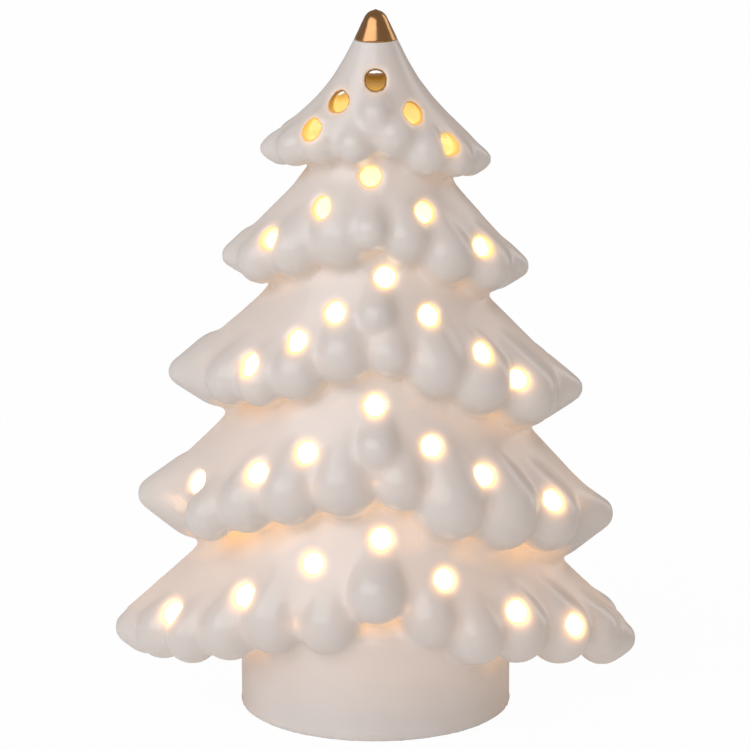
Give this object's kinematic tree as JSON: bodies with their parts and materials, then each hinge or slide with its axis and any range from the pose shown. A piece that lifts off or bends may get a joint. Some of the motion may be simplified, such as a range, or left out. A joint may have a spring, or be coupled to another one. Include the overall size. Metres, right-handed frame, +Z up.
{
  "type": "ceramic christmas tree",
  "caption": "White glazed porcelain tabletop tree with scalloped tiers, round light holes, a gold tip and a warm battery lamp unit plugged into its round foot.",
  "frame": {"origin": "centre of the underside of the foot, which is the middle of the bounding box's bottom", "axes": "+Z up, -Y to the front with the lobed face of the picture, +X to the viewer's right"},
  "size_m": [0.2072, 0.123, 0.28],
  "materials": {
    "porcelain": "gloss clear glaze over white porcelain",
    "gold_lustre": "mirror-bright gold lustre",
    "white_plastic": "fine moulded texture",
    "silicone": "soft matt silicone",
    "steel": "zinc-plated",
    "cell_wrap": "plain gloss wrap with bare steel ends",
    "nickel_plate": "nickel-plated",
    "board": "white solder resist",
    "lamp_resin": "clear warm-white lamp resin",
    "resistor": "matt",
    "black_plastic": "moulded",
    "tinned_brass": "tinned",
    "red_insulation": "smooth insulation",
    "black_insulation": "smooth insulation"
  },
  "bodies": {
    "tree": {"porcelain_tree": "porcelain", "gold_tip": "gold_lustre"},
    "lamp_unit": {"lamp_base": "white_plastic", "lamp_cover": "white_plastic", "seal_ring": "silicone", "cover_screws": "steel", "board_screws": "steel", "switch_screws": "steel", "battery_1": "cell_wrap", "battery_2": "cell_wrap", "battery_3": "cell_wrap", "positive_terminal": "nickel_plate", "negative_terminal": "nickel_plate", "bridge_plate_left": "nickel_plate", "bridge_plate_right": "nickel_plate", "contact_springs": "nickel_plate", "led_board": "board", "leds": "lamp_resin", "resistor": "resistor", "switch_body": "black_plastic", "switch_pins": "tinned_brass", "wire_battery": "red_insulation", "wire_switch": "red_insulation", "wire_return": "black_insulation"},
    "battery_door": {"battery_door": "white_plastic"},
    "switch_knob": {"switch_knob": "black_plastic"}
  },
  "joints": [
    {"name": "lamp_unit_pull", "type": "slide", "parent": "tree", "child": "lamp_unit", "axis": [0, 0, -1], "range_m": [0, 0.045]},
    {"name": "battery_door_hinge", "type": "hinge", "parent": "lamp_unit", "child": "battery_door", "pos_m": [-0.0274, 0, 0.0008], "axis": [0, 1, 0], "range_deg": [0, 90]},
    {"name": "switch_slide", "type": "slide", "parent": "lamp_unit", "child": "switch_knob", "axis": [-1, 0, 0], "range_m": [0, 0.003]}
  ]
}
